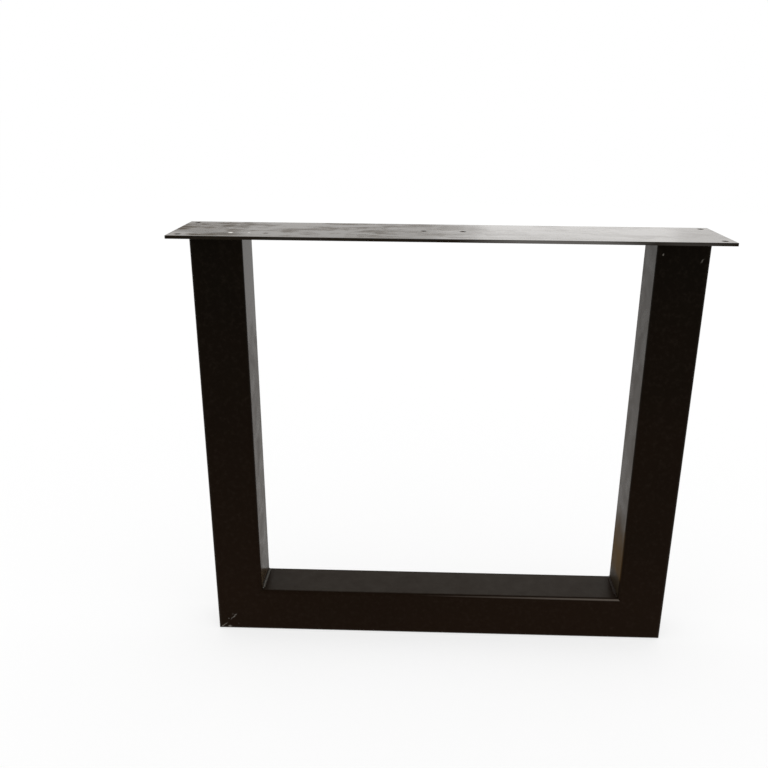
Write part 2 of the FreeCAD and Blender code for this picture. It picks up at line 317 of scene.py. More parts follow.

# %% [markdown]
# ## The tube's finish
# The uprights and the rail are drawn square tube under the enamel. Marks of a used, welded frame and
# some painted light each get a cell of their own. The first is grey dust on what faces up. The
# height of a face's normal tells how level it is, so dust needs no painting: it lies on the rail's
# top and not on its rounded edges. A noise makes it drift, thicker here and thinner there, and beside
# the corner welds less dust leaves the top darker, which is painted shade.

# %% Tube finish: dust on what faces up
DUST = 0.72
DUST_FROM = 0.88  # dust starts to lie where a normal points up this much, and is full at DUST_FULL
DUST_FULL = 0.99
DUST_ROUGH = 0.08  # what full dust adds to the coat's roughness
DRIFT_MM = 24.0
THIN_DRIFT = 0.6  # how much dust lies where it is thin and where it is thick, as shares of DUST
THICK_DRIFT = 1.35
CORNER_SHADE_MM = 7.0
SHADED_DUST_SHARE = 0.3  # the share of the dust left in the painted shade beside a corner weld

# Satin enamel on drawn tube: almost black from the front, with a soft grey mirror at a flat angle.
tube_finish, tree, shader = new_finish(
    "satin_black_enamel_on_drawn_tube", specular_level=0.034, sheen=0.085)
place, colour, rough, peel = lay_enamel(tree)
tube_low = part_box("right_upright")[0]
axes = add_node(tree, "ShaderNodeSeparateXYZ", {"Vector": place}).outputs
side = add_node(tree, "ShaderNodeMath", {0: axes["X"]}, operation="ABSOLUTE")
facing = add_node(tree, "ShaderNodeTexCoord").outputs["Normal"]
facing_axes = add_node(tree, "ShaderNodeSeparateXYZ", {"Vector": facing}).outputs
flat_top = add_node(tree, "ShaderNodeMapRange", {
    "Value": facing_axes["Z"], "From Min": DUST_FROM, "From Max": DUST_FULL, "To Max": DUST})
# Painted shade: less dust within a band beside each inner corner weld makes the rail top darker there.
rail_corner_shade = add_node(tree, "ShaderNodeMapRange", {
    "Value": side, "From Min": tube_low.x - 2 * CORNER_SHADE_MM * MM, "From Max": tube_low.x - CORNER_SHADE_MM * MM,
    "To Min": 1.0, "To Max": SHADED_DUST_SHARE})
dust_and_corner_shade = add_node(tree, "ShaderNodeMath", {0: flat_top, 1: rail_corner_shade}, operation="MULTIPLY")
drift = add_node(tree, "ShaderNodeTexNoise", {
    "Vector": place, "Scale": 1 / (DRIFT_MM * MM), "Detail": 6.0, "Roughness": 0.65})
drifts = add_node(tree, "ShaderNodeMapRange", {
    "Value": drift, "From Min": NOISE_LOW, "From Max": NOISE_HIGH,
    "To Min": THIN_DRIFT, "To Max": THICK_DRIFT})
dust = add_node(tree, "ShaderNodeMath", {0: dust_and_corner_shade, 1: drifts}, operation="MULTIPLY")
dusty_colour = add_node(tree, "ShaderNodeMix", {
    MIX_FACTOR: dust, MIX_FROM: colour, MIX_TO: hex_colour("#2b2723")}, data_type="RGBA")
dusty_rough = add_node(tree, "ShaderNodeMath", {
    0: dust, 1: DUST_ROUGH, 2: rough}, operation="MULTIPLY_ADD")
print("dust covers", DUST, "of a flat top, less within", 2 * CORNER_SHADE_MM, "mm of a corner weld")

# %% [markdown]
# Three soft marks change the inner faces. Rough grime lies on the foot of the right one, so there it
# mirrors less of the white room, and its brown colour is a painted reflection. Painted shade blackens
# the corner under it. Hands keep the top of the left face wiped, and a smoother face mirrors more. The
# painted reflection and shade are kept to what faces inwards, or they would run round the tube's edge.

# %% Tube finish: grime with a painted reflection, painted shade and a wiped place
rail_low, rail_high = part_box("base_rail")
INNER = tube_low.x / MM  # the inner faces lie this far from the middle, on both sides
FRONT = rail_low.y / MM
RAIL_TOP = rail_high.z / MM
REFLECTION_GRAIN_MM = 30.0
REFLECTION_PUSH_MM = 70.0
REFLECTION_CORE = 0.0  # with no full core, the push breaks up the inside of the painted reflection too
INWARD_FROM = -0.7  # a face counts as inward from this normal along X, and fully from INWARD_FULL
INWARD_FULL = -0.98
GRIME_ROUGH = 0.5  # what each of the three marks adds to the roughness
CORNER_SHADE_ROUGH = 0.5
WIPED_ROUGH = -0.2

# The first mark is rough grime whose brown colour is a painted reflection; the second is painted shade
# in the corner below it.
reflection_splash_marks = [((INNER, 0.0, 148.0), (90.0, 120.0, 84.0), 0.0, 1.0)]
corner_shade_marks = [((INNER, FRONT, RAIL_TOP), (90.0, 95.0, 40.0), 0.0, 1.0)]
wiped_marks = [((-INNER, 0.0, 660.0), (3.0, 120.0, 150.0), 0.0, 1.0)]
inward = add_node(tree, "ShaderNodeMapRange", {
    "Value": facing_axes["X"], "From Min": INWARD_FROM, "From Max": INWARD_FULL})
reflection_splash_place = ragged(tree, place, REFLECTION_GRAIN_MM, REFLECTION_PUSH_MM)
reflection_splash = mark_mask(tree, reflection_splash_place, reflection_splash_marks, core=REFLECTION_CORE)
inward_reflection_splash = add_node(tree, "ShaderNodeMath", {0: reflection_splash, 1: inward}, operation="MULTIPLY")
corner_shade_mark = mark_mask(tree, place, corner_shade_marks)
corner_shade = add_node(tree, "ShaderNodeMath", {0: corner_shade_mark, 1: inward}, operation="MULTIPLY")
grime_and_reflection = add_node(tree, "ShaderNodeMath", {0: inward_reflection_splash, 1: corner_shade}, operation="SUBTRACT", use_clamp=True)
# Painted reflection: the brown colour on the right inner face's foot.
reflection_colour = add_node(tree, "ShaderNodeMix", {
    MIX_FACTOR: grime_and_reflection, MIX_FROM: dusty_colour.outputs[MIXED], MIX_TO: hex_colour("#45331b")},
    data_type="RGBA")
grimy_rough = add_node(tree, "ShaderNodeMath", {
    0: grime_and_reflection, 1: GRIME_ROUGH, 2: dusty_rough}, operation="MULTIPLY_ADD")
# Painted shade: near black in the inner corner above the rail.
corner_shaded_colour = add_node(tree, "ShaderNodeMix", {
    MIX_FACTOR: corner_shade, MIX_FROM: reflection_colour.outputs[MIXED], MIX_TO: hex_colour("#040302")},
    data_type="RGBA")
corner_shaded_rough = add_node(tree, "ShaderNodeMath", {
    0: corner_shade, 1: CORNER_SHADE_ROUGH, 2: grimy_rough}, operation="MULTIPLY_ADD")
wiped = mark_mask(tree, place, wiped_marks)
wiped_rough = add_node(tree, "ShaderNodeMath", {
    0: wiped, 1: WIPED_ROUGH, 2: corner_shaded_rough}, operation="MULTIPLY_ADD")
print("grime, soot and a wiped place on the inner faces at x", round(INNER, 1), "mm")

# %% [markdown]
# At each mitre the welder ground the outer seam flush and the enamel went over it, so only a hairline
# and a slightly duller band are left. A mitre is a plane at 45 degrees, so distance from the middle
# and height add up to the same number all along it, and what is left over tells how far off it a
# point lies.

# %% Tube finish: the mitres
SEAM_MM = 0.7
GROUND_MM = 9.0
GROUND_CORE = 0.6
GROUND_ROUGH = 0.05

side_and_up = add_node(tree, "ShaderNodeMath", {0: side, 1: axes["Z"]}, operation="ADD")
off_mitre = add_node(tree, "ShaderNodeMath", {0: side_and_up, 1: rail_high.x}, operation="SUBTRACT")
mitre_gap = add_node(tree, "ShaderNodeMath", {0: off_mitre}, operation="ABSOLUTE")
seam = add_node(tree, "ShaderNodeMapRange", {
    "Value": mitre_gap, "From Min": SEAM_MM * MM, "From Max": 0.0})
ground = add_node(tree, "ShaderNodeMapRange", {
    "Value": mitre_gap, "From Min": GROUND_MM * MM, "From Max": GROUND_CORE * GROUND_MM * MM})
ground_rough = add_node(tree, "ShaderNodeMath", {
    0: ground, 1: GROUND_ROUGH, 2: wiped_rough}, operation="MULTIPLY_ADD")
print("mitre line meets the floor at x", round(rail_high.x / MM, 1), "mm")

# %% [markdown]
# The leg was set down hard on its lower left corner, and the enamel chipped along the mitre. Two small
# scuffs sit under the plate on the right. Each is a mark where the photograph shows it, with an outline
# that a fine noise breaks.

# %% Tube finish: chips and scuffs
FLAKE_MM = 3.0
FLAKE_PUSH_MM = 3.5

chips = [
    ((-362.0, FRONT, 26.0), (10.8, 2.0, 1.0), 48.0, 0.75),
    ((-379.0, FRONT, 9.2), (8.4, 2.0, 0.9), 40.0, 0.75),
    ((-383.2, FRONT, 5.8), (2.6, 2.0, 1.4), 40.0, 1.0),
    ((-370.4, FRONT, 5.4), (4.2, 2.0, 2.6), 0.0, 0.9),
    ((-363.6, FRONT, 30.8), (1.4, 2.0, 1.2), 0.0, 0.4),
    ((-371.8, FRONT, 21.6), (1.6, 2.0, 1.2), 0.0, 0.5),
    ((-354.4, FRONT, 12.1), (1.4, 2.0, 1.0), 0.0, 0.35),
    ((318.4, FRONT, 675.6), (1.3, 2.0, 2.4), -12.0, 0.9),
    ((377.4, FRONT, 667.4), (4.6, 2.0, 1.3), 58.0, 0.5),
]
chip_mask = mark_mask(tree, ragged(tree, place, FLAKE_MM, FLAKE_PUSH_MM), chips)
chipped = add_node(tree, "ShaderNodeMix", {
    MIX_FACTOR: chip_mask, MIX_FROM: corner_shaded_colour.outputs[MIXED], MIX_TO: hex_colour("#6b6660")},
    data_type="RGBA")
print(len(chips), "chips and scuffs")

# %% [markdown]
# A painted highlight lies along the rail's front edge as a grey line, most towards the right. The
# edge is a rounded corner of the tube, so the line's height and depth come from an angle round that
# corner. The mark is a long thin oval, kept to what faces up a little, or it would cross the upright's
# face too.

# %% Tube finish: the painted edge highlight
TUBE_CORNER_MM = 6.0
RAIL_HIGHLIGHT_ANGLE = math.radians(36.0)  # how far up the rounded corner the painted highlight lies
RAIL_HIGHLIGHT_CORE = 0.1
RAIL_HIGHLIGHT_FROM = 0.1  # the painted highlight starts where a normal points up this much, and is full at RAIL_HIGHLIGHT_FULL
RAIL_HIGHLIGHT_FULL = 0.35

arc_y = FRONT + TUBE_CORNER_MM * (1 - math.cos(RAIL_HIGHLIGHT_ANGLE))
arc_z = RAIL_TOP - TUBE_CORNER_MM * (1 - math.sin(RAIL_HIGHLIGHT_ANGLE))
# Painted highlight: a grey line along the rail's front edge.
rail_highlight_marks = [((360.0, arc_y, arc_z), (400.0, 2.3, 2.3), 0.0, 1.0)]
rail_highlight_line = mark_mask(tree, place, rail_highlight_marks, core=RAIL_HIGHLIGHT_CORE)
on_corner = add_node(tree, "ShaderNodeMapRange", {
    "Value": facing_axes["Z"], "From Min": RAIL_HIGHLIGHT_FROM, "From Max": RAIL_HIGHLIGHT_FULL})
rail_edge_highlight = add_node(tree, "ShaderNodeMath", {0: rail_highlight_line, 1: on_corner}, operation="MULTIPLY")
rail_highlighted = add_node(tree, "ShaderNodeMix", {
    MIX_FACTOR: rail_edge_highlight, MIX_FROM: chipped.outputs[MIXED], MIX_TO: hex_colour("#5c554e")},
    data_type="RGBA")
print("rubbed line at y", round(arc_y, 1), "mm, z", round(arc_z, 1), "mm")

# %% [markdown]
# The shader takes the last colour, the last roughness and a normal that two bumps bend: the orange
# peel and the sunken hairline of the mitre. Bump is enough for both, because neither is deep enough to
# show in an outline.

# %% Tube finish: put it together
PEEL_DEPTH = 0.05 * MM
PEEL_STRENGTH = 0.25
SEAM_DEPTH = 0.3 * MM
SEAM_STRENGTH = 0.6

peel_bump = add_node(tree, "ShaderNodeBump", {
    "Strength": PEEL_STRENGTH, "Distance": PEEL_DEPTH, "Height": peel})
seam_bump = add_node(tree, "ShaderNodeBump", {
    "Strength": SEAM_STRENGTH, "Distance": SEAM_DEPTH, "Height": seam,
    "Normal": peel_bump}, invert=True)
tree.links.new(rail_highlighted.outputs[MIXED], shader.inputs["Base Color"])
tree.links.new(ground_rough.outputs["Value"], shader.inputs["Roughness"])
tree.links.new(seam_bump.outputs["Normal"], shader.inputs["Normal"])
print(tube_finish.name, "has", len(tree.nodes), "nodes")

# %% [markdown]
# ## The plate's finish
# The plate is rolled steel under the same enamel, but it lay flat in a workshop: a film of dust and
# wipe marks dulls it in patches, most at its left end. Seen almost edge on, a dull patch mirrors less
# than a clean one, so a noise that drives the roughness makes the mottled grey of the photograph by
# itself, and the same noise tints the film for those who look straight down on it.

# %% Plate finish: film and wipe marks
WIPE_MM = 34.0
WIPE_STRETCH = 2.5  # a wipe mark is this many times longer than wide
BLOTCH_MM = 18.0
BLOTCH_SHARE = 0.6
PATCH_FROM = 0.68  # film starts where the two noises add up to this, and is full at PATCH_FULL
PATCH_FULL = 0.95
THICK_END_MM = 55.0  # the film is thickest this far from the left end, and thins over as much again
END_FILM = 1.7  # how thick the film is at the left end and on the rest of the left half
LEFT_FILM = 0.85
RIGHT_FILM = 0.3  # the share of that film which lies on the right half
LEFT_UNTIL_MM = -120.0  # the left half's film gives way to the right half's between these two places
RIGHT_FROM_MM = 80.0

# Dusty enamel on rolled plate: black from above, a mottled grey mirror when seen almost edge on.
plate_finish, tree, shader = new_finish(
    "dusty_black_enamel_on_rolled_plate", specular_level=0.12, sheen=0.12)
place, colour, rough, peel = lay_enamel(tree)
axes = add_node(tree, "ShaderNodeSeparateXYZ", {"Vector": place}).outputs
stretched = add_node(tree, "ShaderNodeMapping", {
    "Vector": place, "Scale": (1 / WIPE_STRETCH, 1.0, 1.0)})
wipe = add_node(tree, "ShaderNodeTexNoise", {
    "Vector": stretched, "Scale": 1 / (WIPE_MM * MM), "Detail": 2.0, "Distortion": 0.3})
blotch = add_node(tree, "ShaderNodeTexNoise", {
    "Vector": place, "Scale": 1 / (BLOTCH_MM * MM), "Detail": 4.0, "Roughness": 0.6})
mottle = add_node(tree, "ShaderNodeMath", {
    0: blotch, 1: BLOTCH_SHARE, 2: wipe}, operation="MULTIPLY_ADD")
patches = add_node(tree, "ShaderNodeMapRange", {
    "Value": mottle, "From Min": PATCH_FROM, "From Max": PATCH_FULL})
end_film = add_node(tree, "ShaderNodeMapRange", {
    "Value": axes["X"], "From Min": plate_low.x + THICK_END_MM * MM,
    "From Max": plate_low.x + 2 * THICK_END_MM * MM, "To Min": END_FILM, "To Max": LEFT_FILM})
clean_half = add_node(tree, "ShaderNodeMapRange", {
    "Value": axes["X"], "From Min": LEFT_UNTIL_MM * MM, "From Max": RIGHT_FROM_MM * MM,
    "To Min": 1.0, "To Max": RIGHT_FILM})
left_dirt = add_node(tree, "ShaderNodeMath", {0: patches, 1: end_film}, operation="MULTIPLY")
dirt = add_node(tree, "ShaderNodeMath", {0: left_dirt, 1: clean_half}, operation="MULTIPLY")
print("wipe marks", WIPE_STRETCH * WIPE_MM, "by", WIPE_MM, "mm, blotches", BLOTCH_MM, "mm")

# %% [markdown]
# Drops dried on the left end and left dull rings. A cell pattern gives such rings: it measures the
# distance to the nearest of many scattered points, and a ring is where that distance is just right.
# Two dull spots, a long smear, a dull strip and the handled left end sit where the photograph shows
# them.

# %% Plate finish: rings and dull spots
TOP = plate_high.z / MM
DROP_MM = 17.0
RING = 0.34  # a ring's radius and half width, as shares of the drops' spacing
RING_WIDTH = 0.13

drops = add_node(tree, "ShaderNodeTexVoronoi", {"Vector": place, "Scale": 1 / (DROP_MM * MM)})
ring = add_node(tree, "ShaderNodeMath", {
    0: drops.outputs["Distance"], 1: RING, 2: RING_WIDTH}, operation="COMPARE")
wet_marks = [((-352.0, 22.0, TOP), (62.0, 42.0, 9.0), 0.0, 0.6)]
wet_patch = mark_mask(tree, place, wet_marks)
rings = add_node(tree, "ShaderNodeMath", {0: ring, 1: wet_patch}, operation="MULTIPLY")
dull_marks = [
    ((-272.5, -42.0, TOP), (6.0, 10.0, 9.0), 0.0, 0.7),
    ((-333.0, -40.0, TOP), (6.0, 9.0, 9.0), 0.0, 0.6),
    ((-222.0, 2.0, TOP), (60.0, 10.0, 9.0), 0.0, 0.75),
    ((-338.0, -57.0, TOP), (46.0, 28.0, 9.0), 0.0, 0.95),
    ((-385.0, 0.0, TOP), (80.0, 130.0, 9.0), 0.0, 0.45),
]
dull_spots = mark_mask(tree, place, dull_marks)
marked = add_node(tree, "ShaderNodeMath", {0: rings, 1: dull_spots}, operation="MAXIMUM")
all_dirt = add_node(tree, "ShaderNodeMath", {0: dirt, 1: marked}, operation="MAXIMUM")
print("rings", round(2 * RING * DROP_MM, 1), "mm across")

# %% [markdown]
# The film lies only on what faces up. Hands keep the strip along the front edge clean, and the front
# left corner. Round each screw hole the drill left a burr, and a dull rim of dust clings to it. The
# film's thickness sets the roughness of the top, while the edges and the underside keep the plain
# coat's. The loose dust in the film sets the colour.

# %% Plate finish: the film's roughness and colour
CLEAN_MM = 12.0
CLEAN_ROUGH = 0.13
THICKEST = 2.0  # no film is thicker than this, and there it is THICKEST_ROUGH
THICKEST_ROUGH = 0.71
HOLES = [(-400.0, -60.0), (-400.0, 60.0), (400.0, -60.0), (400.0, 60.0), (-37.5, 0.0), (22.5, 0.0)]
RIM_MM = 6.5  # a dull rim fades out this far from the middle of its hole
RIM_FILM = 2.0

off_edge = add_node(tree, "ShaderNodeMapRange", {
    "Value": axes["Y"], "From Min": plate_low.y, "From Max": plate_low.y + CLEAN_MM * MM})
strip_clean = add_node(tree, "ShaderNodeMath", {0: all_dirt, 1: off_edge}, operation="MULTIPLY")
held_marks = [((*HOLES[0], TOP), (24.0, 26.0, 9.0), 0.0, 1.4)]
held_corner = mark_mask(tree, place, held_marks)
hand_clean = add_node(tree, "ShaderNodeMath", {0: strip_clean, 1: held_corner}, operation="SUBTRACT")
facing = add_node(tree, "ShaderNodeTexCoord").outputs["Normal"]
facing_up = add_node(tree, "ShaderNodeSeparateXYZ", {"Vector": facing}).outputs["Z"]
rim_marks = [((x, y, TOP), (RIM_MM, RIM_MM, 9.0), 0.0, RIM_FILM) for x, y in HOLES]
rims = mark_mask(tree, place, rim_marks)
rimmed = add_node(tree, "ShaderNodeMath", {0: hand_clean, 1: rims}, operation="MAXIMUM")
film = add_node(tree, "ShaderNodeMath", {0: rimmed, 1: facing_up}, operation="MULTIPLY")
film_rough = add_node(tree, "ShaderNodeMapRange", {
    "Value": film, "From Max": THICKEST, "To Min": CLEAN_ROUGH, "To Max": THICKEST_ROUGH})
plate_rough = add_node(tree, "ShaderNodeMapRange", {
    "Value": facing_up, "To Min": rough, "To Max": film_rough})
dust = add_node(tree, "ShaderNodeMath", {0: dirt, 1: facing_up}, operation="MULTIPLY", use_clamp=True)
film_colour = add_node(tree, "ShaderNodeMix", {
    MIX_FACTOR: dust, MIX_FROM: colour, MIX_TO: hex_colour("#2c2821")}, data_type="RGBA")
print("film", CLEAN_ROUGH, "to", THICKEST_ROUGH, "rough, clean strip", CLEAN_MM, "mm")
print(len(HOLES), "dull rims")

# %% [markdown]
# Two white specks of paint sit near the left end, with outlines that the noise of the chips breaks.
# The plate's front edge gets a painted highlight: along a stretch of its face right of the middle,
# faintly elsewhere, and as a fine line all along its upper corner.

# %% Plate finish: specks and painted edge highlights
EDGE = plate_low.y / MM
EDGE_MIDDLE = (plate_low.z + plate_high.z) / MM / 2

specks = [
    ((-325.6, -39.7, TOP), (4.2, 6.6, 3.2), 0.0, 1.0),
    ((-298.4, -37.3, TOP), (2.4, 3.6, 3.2), 0.0, 0.7),
]
speck_mask = mark_mask(tree, ragged(tree, place, FLAKE_MM, FLAKE_PUSH_MM), specks)
specked = add_node(tree, "ShaderNodeMix", {
    MIX_FACTOR: speck_mask, MIX_FROM: film_colour.outputs[MIXED], MIX_TO: hex_colour("#e4e2dd")},
    data_type="RGBA")
# Painted highlights on the plate's front edge and along its upper corner.
plate_edge_highlights = [
    ((159.0, EDGE, EDGE_MIDDLE), (150.0, 1.5, 5.0), 0.0, 1.0),
    ((350.0, EDGE, EDGE_MIDDLE), (70.0, 1.5, 5.0), 0.0, 0.2),
    ((-225.0, EDGE, EDGE_MIDDLE), (60.0, 1.5, 5.0), 0.0, 0.08),
    ((0.0, EDGE, TOP), (430.0, 1.1, 1.1), 0.0, 0.6),
]
plate_highlight_mask = mark_mask(tree, place, plate_edge_highlights)
plate_highlighted = add_node(tree, "ShaderNodeMix", {
    MIX_FACTOR: plate_highlight_mask, MIX_FROM: specked.outputs[MIXED], MIX_TO: hex_colour("#5a5856")},
    data_type="RGBA")
print(len(specks), "specks,", len(plate_edge_highlights), "worn edges")

# %% [markdown]
# The plate's shader takes the same three results as the tube's. Its orange peel is a little weaker,
# because paint flows out better on a face that lies flat while it dries.

# %% Plate finish: put it together
FLAT_PEEL_STRENGTH = 0.2

plate_bump = add_node(tree, "ShaderNodeBump", {
    "Strength": FLAT_PEEL_STRENGTH, "Distance": PEEL_DEPTH, "Height": peel})
tree.links.new(plate_highlighted.outputs[MIXED], shader.inputs["Base Color"])
tree.links.new(plate_rough.outputs["Result"], shader.inputs["Roughness"])
tree.links.new(plate_bump.outputs["Normal"], shader.inputs["Normal"])
print(plate_finish.name, "has", len(tree.nodes), "nodes")

# %% [markdown]
# ## The weld's finish
# Enamel lies black in the hollows of a weld bead, and its crests get a painted grey highlight. Each
# bead carries a number called crown_highlight, which its maker below works out: it is large on a crest
# in the middle of the bead and 0 at its toes, and this finish paints the highlight where it is large.

# %% Weld finish
CROWN_HIGHLIGHT_FROM = 0.4  # the painted highlight starts at this crown highlight and is full at 1
WELD_GRAIN_DEPTH = 0.1 * MM
WELD_GRAIN_STRENGTH = 0.4

# Enamel over weld metal: black hollows, and crests with a painted grey highlight.
weld_finish, tree, shader = new_finish("black_enamel_over_weld_bead", specular_level=0.06, sheen=0.0)
place, colour, rough, peel = lay_enamel(tree)
crown_highlight = add_node(tree, "ShaderNodeAttribute", attribute_name="crown_highlight").outputs["Fac"]
crown_glint = add_node(tree, "ShaderNodeMapRange", {"Value": crown_highlight, "From Min": CROWN_HIGHLIGHT_FROM, "From Max": 1.0})
crown_highlighted = add_node(tree, "ShaderNodeMix", {
    MIX_FACTOR: crown_glint, MIX_FROM: colour, MIX_TO: hex_colour("#6c6a64")}, data_type="RGBA")
weld_bump = add_node(tree, "ShaderNodeBump", {
    "Strength": WELD_GRAIN_STRENGTH, "Distance": WELD_GRAIN_DEPTH, "Height": peel})
tree.links.new(crown_highlighted.outputs[MIXED], shader.inputs["Base Color"])
tree.links.new(rough.outputs["Result"], shader.inputs["Roughness"])
tree.links.new(weld_bump.outputs["Normal"], shader.inputs["Normal"])
print(weld_finish.name, "has", len(tree.nodes), "nodes")

# %% [markdown]
# ## The weld beads
# A weld bead is a row of molten puddles that froze one on the next, so it has round crests, sharp
# valleys and crescents that bow along the seam. It could be sculpted, or built from hundreds of
# overlapping drops. Here Geometry Nodes sweep a quarter round along the seam and then push each
# point away from the seam by a rule, because a rule can be read, changed and run again.

# %% Bead tree: the inputs
bead_tree = bpy.data.node_groups.new("weld_bead", "GeometryNodeTree")
bead_tree.is_modifier = True
for label, kind in (
    ("Seam", "NodeSocketGeometry"),
    ("Leg", "NodeSocketFloat"),
    ("Section Angle", "NodeSocketFloat"),
    ("Ripple Pitch", "NodeSocketFloat"),
    ("Ripple Height", "NodeSocketFloat"),
    ("Lump Height", "NodeSocketFloat"),
    ("End Taper", "NodeSocketFloat"),
    ("Rub", "NodeSocketFloat"),
    ("Seed", "NodeSocketFloat"),
    ("Material", "NodeSocketMaterial"),
):
    bead_tree.interface.new_socket(label, in_out="INPUT", socket_type=kind)
bead_tree.interface.new_socket("Bead", in_out="OUTPUT", socket_type="NodeSocketGeometry")
bead_inputs = {item.name: item.identifier for item in bead_tree.interface.items_tree}
given = add_node(bead_tree, "NodeGroupInput").outputs
print("bead inputs", list(bead_inputs))

# %% [markdown]
# The seam is a line of mesh edges. It becomes a curve with eight points to each ripple, and every
# point remembers three things for later: its own place, how far along the seam it is, and how long
# the seam is. The section is an arc joined to its centre, and it remembers how far round it goes.

# %% Bead tree: seam and section
STEPS_PER_RIPPLE = 8.0
ARC_POINTS = 13

seam_curve = add_node(bead_tree, "GeometryNodeMeshToCurve", {"Mesh": given["Seam"]})
step = add_node(bead_tree, "ShaderNodeMath", {
    0: given["Ripple Pitch"], 1: STEPS_PER_RIPPLE}, operation="DIVIDE")
fine_seam = add_node(bead_tree, "GeometryNodeResampleCurve", {
    "Curve": seam_curve, "Length": step}, mode="LENGTH")
level_seam = add_node(bead_tree, "GeometryNodeSetCurveNormal", {"Curve": fine_seam}, mode="Z_UP")
seam_notes = add_node(bead_tree, "GeometryNodeCaptureAttribute", {"Geometry": level_seam})
section = add_node(bead_tree, "GeometryNodeCurveArc", {
    "Resolution": ARC_POINTS, "Radius": given["Leg"], "Start Angle": given["Section Angle"],
    "Sweep Angle": math.pi / 2, "Connect Center": True}, mode="RADIUS")
section_notes = add_node(bead_tree, "GeometryNodeCaptureAttribute", {"Geometry": section})
swept = add_node(bead_tree, "GeometryNodeCurveToMesh", {
    "Curve": seam_notes, "Profile Curve": section_notes, "Fill Caps": True})
for notes, kind, label, source, output in (
    (seam_notes, "VECTOR", "spine", "GeometryNodeInputPosition", "Position"),
    (seam_notes, "FLOAT", "walk", "GeometryNodeSplineParameter", "Length"),
    (seam_notes, "FLOAT", "length", "GeometryNodeSplineLength", "Length"),
    (section_notes, "FLOAT", "round", "GeometryNodeSplineParameter", "Factor"),
):
    notes.capture_items.new(kind, label)
    bead_tree.links.new(add_node(bead_tree, source).outputs[output], notes.inputs[label])
print("section of", ARC_POINTS, "points,", int(STEPS_PER_RIPPLE), "steps to a ripple")

# %% [markdown]
# A ripple is a sine wave without its sign, which has round crests and sharp valleys. The waves are
# counted so that a whole number fits the seam and a closed seam meets itself. A bow that is largest
# in the middle of the section bends each wave into a crescent.

# %% Bead tree: ripples
ARC_SHARE = (math.pi / 2) / (math.pi / 2 + 2)  # the arc's part of the section's outline
MIDDLE_GAIN = 4.0  # makes the product of the two parts of the arc 1 at its middle
BOW = 0.9  # how far a crescent bows along the seam, in ripples

walk = seam_notes.outputs["walk"]
length = seam_notes.outputs["length"]
along_arc = add_node(bead_tree, "ShaderNodeMath", {
    0: section_notes.outputs["round"], 1: ARC_SHARE}, operation="DIVIDE")
rest_of_arc = add_node(bead_tree, "ShaderNodeMath", {0: 1.0, 1: along_arc}, operation="SUBTRACT")
arc_product = add_node(bead_tree, "ShaderNodeMath", {
    0: along_arc, 1: rest_of_arc}, operation="MULTIPLY")
middle = add_node(bead_tree, "ShaderNodeMath", {
    0: arc_product, 1: MIDDLE_GAIN}, operation="MULTIPLY")
fitting = add_node(bead_tree, "ShaderNodeMath", {
    0: length, 1: given["Ripple Pitch"]}, operation="DIVIDE")
ripples = add_node(bead_tree, "ShaderNodeMath", {0: fitting}, operation="ROUND")
share = add_node(bead_tree, "ShaderNodeMath", {0: walk, 1: length}, operation="DIVIDE")
straight = add_node(bead_tree, "ShaderNodeMath", {0: share, 1: ripples}, operation="MULTIPLY")
bowed = add_node(bead_tree, "ShaderNodeMath", {
    0: middle, 1: BOW, 2: straight}, operation="MULTIPLY_ADD")
phase = add_node(bead_tree, "ShaderNodeMath", {0: bowed, 1: math.pi}, operation="MULTIPLY")
wave = add_node(bead_tree, "ShaderNodeMath", {0: phase}, operation="SINE")
crest = add_node(bead_tree, "ShaderNodeMath", {0: wave}, operation="ABSOLUTE")
print("crescents bow by", BOW, "of a ripple")

# %% [markdown]
# A slow noise lets the bead swell and shrink, as a hand does, and an open bead tapers at both ends.
# Together they give one number, the swell, that is at most 1, so that no bead is thicker than its
# CAD solid.

# %% Bead tree: lumps and ends
LUMP_MM = 14.0
TAPER_LEGS = 1.6  # a tapered end is this many bead legs long

spine = seam_notes.outputs["spine"]
lump = add_node(bead_tree, "ShaderNodeTexNoise", {
    "Vector": spine, "W": given["Seed"], "Scale": 1 / (LUMP_MM * MM), "Detail": 2.0},
    noise_dimensions="4D")
below_crest = add_node(bead_tree, "ShaderNodeMath", {0: 1.0, 1: crest}, operation="SUBTRACT")
below_lump = add_node(bead_tree, "ShaderNodeMath", {0: 1.0, 1: lump}, operation="SUBTRACT")
ripple_dip = add_node(bead_tree, "ShaderNodeMath", {
    0: below_crest, 1: given["Ripple Height"]}, operation="MULTIPLY")
dip = add_node(bead_tree, "ShaderNodeMath", {
    0: below_lump, 1: given["Lump Height"], 2: ripple_dip}, operation="MULTIPLY_ADD")
dip_share = add_node(bead_tree, "ShaderNodeMath", {0: dip, 1: given["Leg"]}, operation="DIVIDE")
fullness = add_node(bead_tree, "ShaderNodeMath", {0: 1.0, 1: dip_share}, operation="SUBTRACT")
to_end = add_node(bead_tree, "ShaderNodeMath", {0: length, 1: walk}, operation="SUBTRACT")
nearer_end = add_node(bead_tree, "ShaderNodeMath", {0: walk, 1: to_end}, operation="MINIMUM")
taper_length = add_node(bead_tree, "ShaderNodeMath", {
    0: given["Leg"], 1: TAPER_LEGS}, operation="MULTIPLY")
end_size = add_node(bead_tree, "ShaderNodeMath", {
    0: 1.0, 1: given["End Taper"]}, operation="SUBTRACT")
taper = add_node(bead_tree, "ShaderNodeMapRange", {
    "Value": nearer_end, "From Max": taper_length, "To Min": end_size},
    interpolation_type="SMOOTHSTEP")
swell = add_node(bead_tree, "ShaderNodeMath", {0: fullness, 1: taper}, operation="MULTIPLY")
print("lumps", LUMP_MM, "mm, tapered ends", TAPER_LEGS, "legs long")

